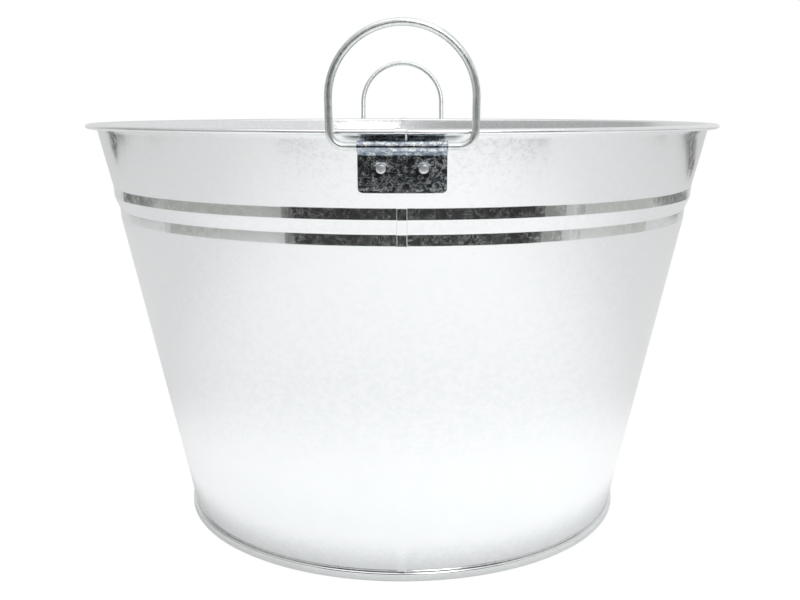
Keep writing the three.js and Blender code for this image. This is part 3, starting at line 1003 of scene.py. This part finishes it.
def floor_material(studio):
    """A pale floor, glowing softly round a spot in front of the bucket, with a painted pool of
    light in its colour round that spot, white to the camera.
    """
    made = plain_material("Pale floor", studio.floor)
    painted_falloff = [channel * 0.86 for channel in studio.floor]
    tree = made.node_tree
    shader = tree.nodes["Principled BSDF"]
    place = place_node(tree, "ShaderNodeTexCoord").outputs["Object"]
    spot = (0.0, -0.3, 0.0)
    away = place_node(
        tree, "ShaderNodeVectorMath", {0: place, 1: spot}, operation="DISTANCE"
    ).outputs["Value"]
    glow = spread(tree, away, 0.24, 0.62, studio.floor_glow, studio.floor_glow * 0.5)
    from_axis = place_node(tree, "ShaderNodeVectorMath", {0: place}, operation="LENGTH").outputs[1]
    near_foot = spread(tree, from_axis, 0.135, 0.165)
    in_front = spread(tree, from_axis, 0.19, 0.31, 1.0, 0.44)
    glow = maths(tree, "MULTIPLY", glow, maths(tree, "MULTIPLY", near_foot, in_front))
    tree.links.new(glow, shader.inputs["Emission Strength"])
    # Painted light: the floor's colour is paler near the spot and darker away from it, a painted
    # pool of light.
    tint = blend(tree, spread(tree, away, 0.2, 0.6), studio.floor, painted_falloff)
    tree.links.new(tint, shader.inputs["Base Color"])
    even = place_node(tree, "ShaderNodeEmission", {"Color": WHITE, "Strength": 1.02})
    seen = place_node(tree, "ShaderNodeLightPath").outputs["Is Camera Ray"]
    mixed = place_node(
        tree, "ShaderNodeMixShader",
        {0: maths(tree, "MULTIPLY", seen, 0.95), 1: shader.outputs[0], 2: even.outputs[0]},
    )
    tree.links.new(mixed.outputs[0], tree.nodes["Material Output"].inputs["Surface"])
    return made


def studio_card(name, radius, foot, top, low, high, material):
    """An upright curved card between two angles from the front, unseen by the camera."""
    start()
    bpy.ops.mesh.primitive_cylinder_add(
        vertices=360, radius=radius, depth=top - foot, end_fill_type="NOTHING",
        location=(0, 0, (foot + top) / 2), rotation=(0, 0, math.radians(0.5)),
    )
    card = named(name)
    outside = lambda co: not low <= math.degrees(math.atan2(co.x, -co.y)) <= high
    pick(card, "VERT", outside)
    bpy.ops.mesh.delete(type="VERT")
    start()
    card.data.materials.append(material)
    card.visible_camera = False
    card.visible_diffuse = False
    card.visible_shadow = False
    return card


class BUCKET_OT_studio(bpy.types.Operator):
    """Set up the floor, the lights and the camera"""

    bl_idname = "bucket.studio"
    bl_label = "Studio"

    def execute(self, context):
        scene = context.scene
        studio = scene.bucket_studio
        start()
        bpy.ops.mesh.primitive_circle_add(vertices=96, radius=4.0, fill_type="NGON")
        floor = context.object
        floor.name = "floor"
        floor.data.materials.append(floor_material(studio))

        # shade, distance, heights of foot and top, then from and to in degrees from the front
        near, far, tall = studio.front_distance, studio.card_distance, studio.card_top
        cards = (
            (0.03, near, 0.0, tall, -38, 46),
            (0.34, far, 0.0, tall, 45, 58),
            (0.05, far, 0.03, tall, 61, 64),
            (0.62, far, 0.04, tall, 64, 99),
            (0.24, far, 0.085, 0.125, 99, 130),
            (0.06, far, 0.1, 0.122, 130, 136),
            (0.44, far, 0.03, tall, -93, -37),
            (0.06, far, 0.07, tall, -96, -93),
            (0.20, far, 0.078, 0.125, -114, -96),
            (0.10, far, 0.09, 0.122, -125, -114),
        )
        for number, (shade_of_grey, distance, foot, top, low, high) in enumerate(cards):
            tint = (shade_of_grey * 0.98, shade_of_grey, shade_of_grey * 0.93)
            studio_card(
                f"card_{number}", distance, foot, top, low, high,
                plain_material(f"Card {number}", tint),
            )

        self.lamp("key", (0, -0.35, 1.7), (0, 0, 0), (1.8, 1.8), studio.key)
        self.lamp(
            "window", (0.35, -1.05, 0.70), (math.radians(62), 0, math.radians(18)),
            (0.42, 0.5), studio.window,
        )

        world = bpy.data.worlds.new("Studio")
        scene.world = world
        world.use_nodes = True
        tree = world.node_tree
        background = tree.nodes["Background"]
        direction = place_node(tree, "ShaderNodeTexCoord").outputs["Generated"]
        parts = place_node(tree, "ShaderNodeSeparateXYZ", {0: direction})
        up = spread(tree, parts.outputs["Z"], 0.2, 0.75, 0.0, 1.0)
        behind = spread(tree, parts.outputs["Y"], 0.2, 0.8, 0.0, 1.0)
        side = spread(tree, parts.outputs["X"], -0.4, 0.3, 0.62, 1.1)
        light = maths(tree, "MAXIMUM", up, maths(tree, "MAXIMUM", behind, side))
        seen = place_node(tree, "ShaderNodeLightPath").outputs["Is Camera Ray"]
        strength = place_node(
            tree, "ShaderNodeMix",
            {"Factor": seen, 2: maths(tree, "MULTIPLY", light, studio.sky), 3: 1.0},
            data_type="FLOAT",
        ).outputs[0]
        tree.links.new(strength, background.inputs["Strength"])
        background.inputs["Color"].default_value = WHITE

        view = bpy.data.cameras.new("camera")
        view.lens = studio.camera_lens
        view.sensor_width = 36.0
        view.shift_x = studio.camera_shift
        view.clip_start, view.clip_end = 0.01, 50.0
        camera = bpy.data.objects.new("camera", view)
        context.collection.objects.link(camera)
        camera.location = (0, -studio.camera_distance, studio.camera_height)
        camera.rotation_euler = (math.pi / 2 - studio.camera_pitch, 0, 0)
        scene.camera = camera
        scene.view_settings.view_transform = "Standard"
        return {"FINISHED"}

    def lamp(self, name, place, turn, size, power):
        """A soft rectangular lamp, unseen by the camera."""
        light = bpy.data.lights.new(name, "AREA")
        light.shape = "RECTANGLE"
        light.size, light.size_y = size
        light.energy = power
        lamp = bpy.data.objects.new(name, light)
        bpy.context.collection.objects.link(lamp)
        lamp.location = place
        lamp.rotation_euler = turn
        lamp.visible_camera = False
        return lamp


OPERATORS = (
    BUCKET_OT_wall, BUCKET_OT_bottom, BUCKET_OT_brackets, BUCKET_OT_rivets,
    BUCKET_OT_handles, BUCKET_OT_studio,
)
SETTINGS = (
    ("bucket_wall", WallSizes), ("bucket_bottom", BottomSizes), ("bucket_handle", HandleSizes),
    ("bucket_bracket", BracketSizes), ("bucket_rivet", RivetSizes),
    ("bucket_finish", ZincFinish), ("bucket_studio", StudioSettings),
)


class BUCKET_PT_panel(bpy.types.Panel):
    """The bucket's pieces and their sizes"""

    bl_idname = "BUCKET_PT_panel"
    bl_label = "Florist Bucket"
    bl_space_type = "VIEW_3D"
    bl_region_type = "UI"
    bl_category = "Florist Bucket"

    def draw(self, context):
        for operator in OPERATORS:
            self.layout.operator(operator.bl_idname)
        for name, group in SETTINGS:
            box = self.layout.box()
            box.label(text=group.__doc__)
            for key in group.__annotations__:
                box.prop(getattr(context.scene, name), key)


def register():
    for name, group in SETTINGS:
        bpy.utils.register_class(group)
        setattr(bpy.types.Scene, name, PointerProperty(type=group))
    for operator in OPERATORS:
        bpy.utils.register_class(operator)
    bpy.utils.register_class(BUCKET_PT_panel)


def unregister():
    bpy.utils.unregister_class(BUCKET_PT_panel)
    for operator in reversed(OPERATORS):
        bpy.utils.unregister_class(operator)
    for name, group in reversed(SETTINGS):
        delattr(bpy.types.Scene, name)
        bpy.utils.unregister_class(group)


def main():
    register()
    bpy.ops.bucket.wall()
    bpy.ops.bucket.bottom()
    bpy.ops.bucket.brackets()
    bpy.ops.bucket.rivets()
    bpy.ops.bucket.handles()
    bpy.ops.bucket.studio()


if __name__ == "__main__":
    main()
